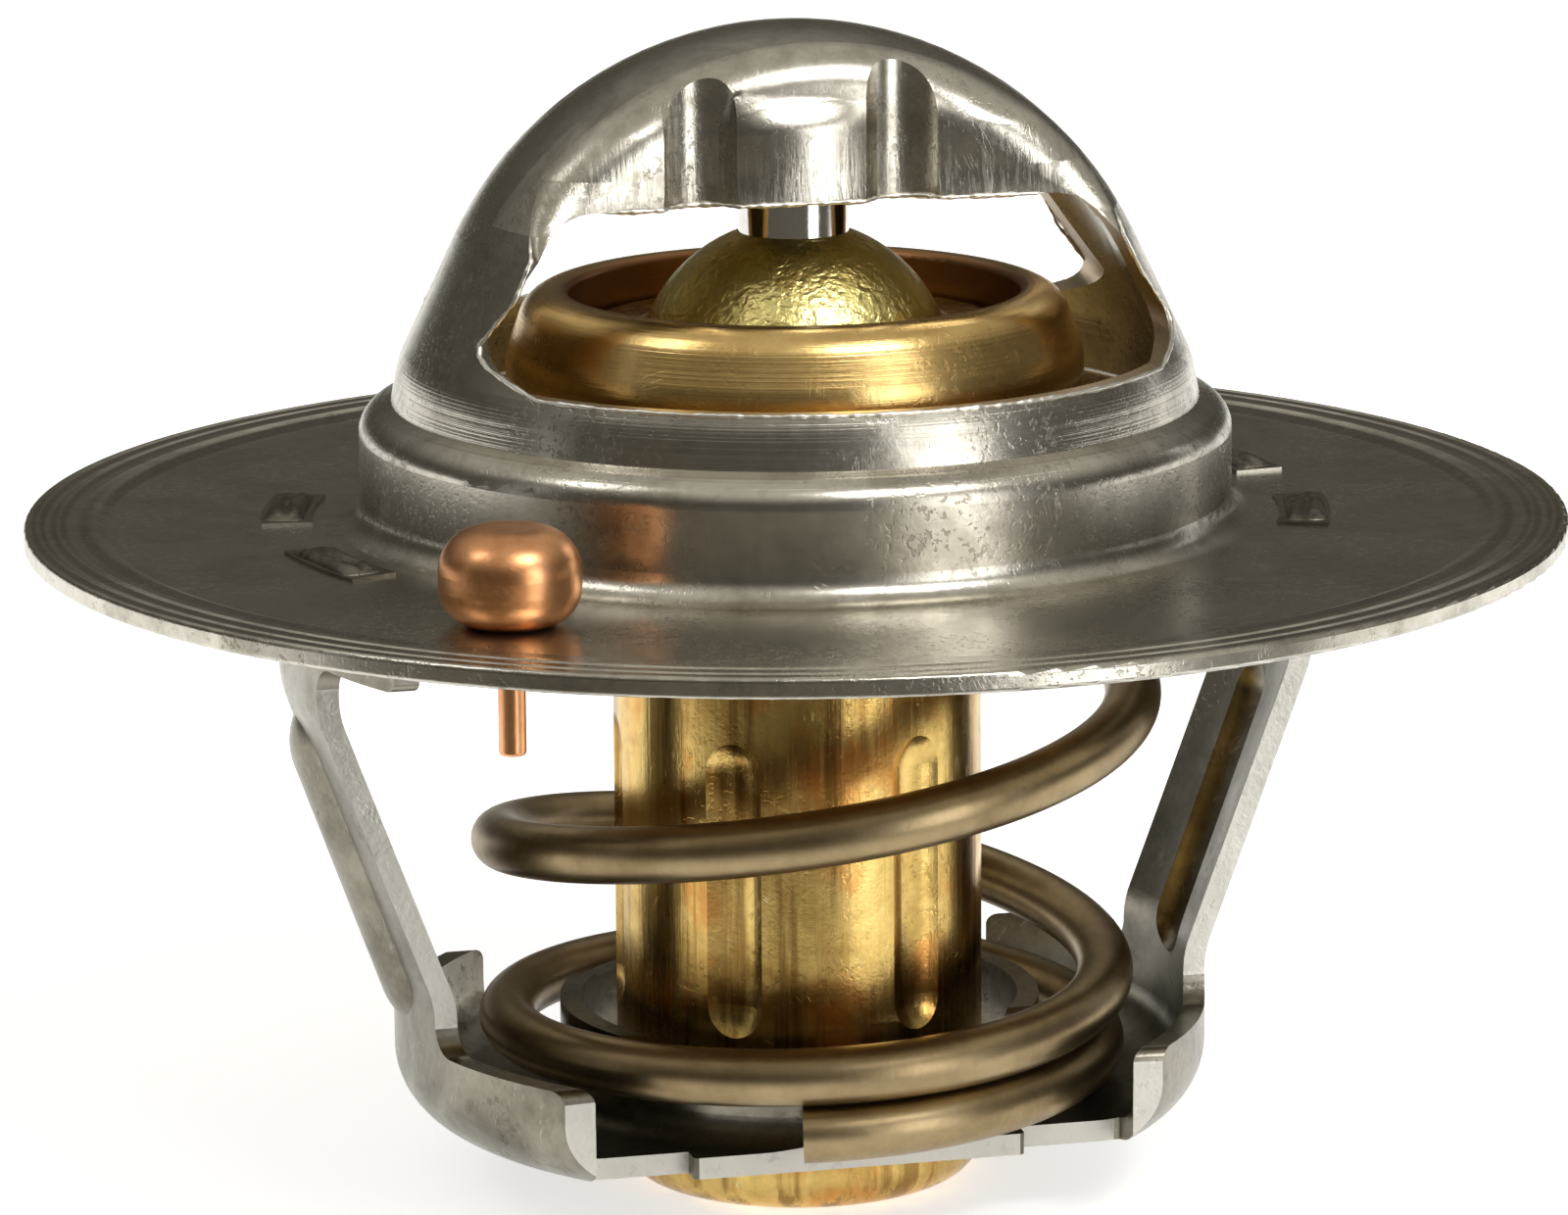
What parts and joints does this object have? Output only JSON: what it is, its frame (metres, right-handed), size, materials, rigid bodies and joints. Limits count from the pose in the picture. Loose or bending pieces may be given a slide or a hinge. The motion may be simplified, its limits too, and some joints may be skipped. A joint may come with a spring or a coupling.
{
  "type": "engine thermostat",
  "caption": "Engine coolant thermostat: round flange with a bridge above it, a wax element with a valve ring, a coil spring and a stirrup frame below.",
  "frame": {"origin": "on the axis, level with the flange's upper face, as the rim's own centre", "axes": "+Z along the axis towards the bridge; the two arms of bridge and lower frame lie along X"},
  "size_m": [0.064, 0.064, 0.0488],
  "materials": {
    "stainless_bridge": "satin",
    "stainless_frame": "satin",
    "spring_wire": "satin, heat tinted",
    "valve_bronze": "turned, tarnished",
    "cup_brass": "satin",
    "wax": "matte",
    "boot_rubber": "matte",
    "washer": "matte",
    "dome_brass": "hammered",
    "polished_steel": "polished",
    "copper": "polished copper"
  },
  "bodies": {
    "housing": {"bridge_flange": "stainless_bridge", "lower_frame": "stainless_frame", "piston_pin": "polished_steel", "spring": "spring_wire"},
    "element": {"valve": "valve_bronze", "wax_cup": "cup_brass", "wax_charge": "wax", "rubber_boot": "boot_rubber", "backing_washer": "washer", "element_head": "dome_brass"},
    "jiggle": {"jiggle_pin": "copper"}
  },
  "joints": [
    {"name": "valve_lift", "type": "slide", "parent": "housing", "child": "element", "axis": [0, 0, -1], "range_m": [0, 0.008], "stiffness_N_per_m": 6000, "springref_m": -0.01, "deforming": ["spring"]},
    {"name": "jiggle_lift", "type": "slide", "parent": "housing", "child": "jiggle", "axis": [0, 0, 1], "range_m": [0, 0.002]}
  ]
}
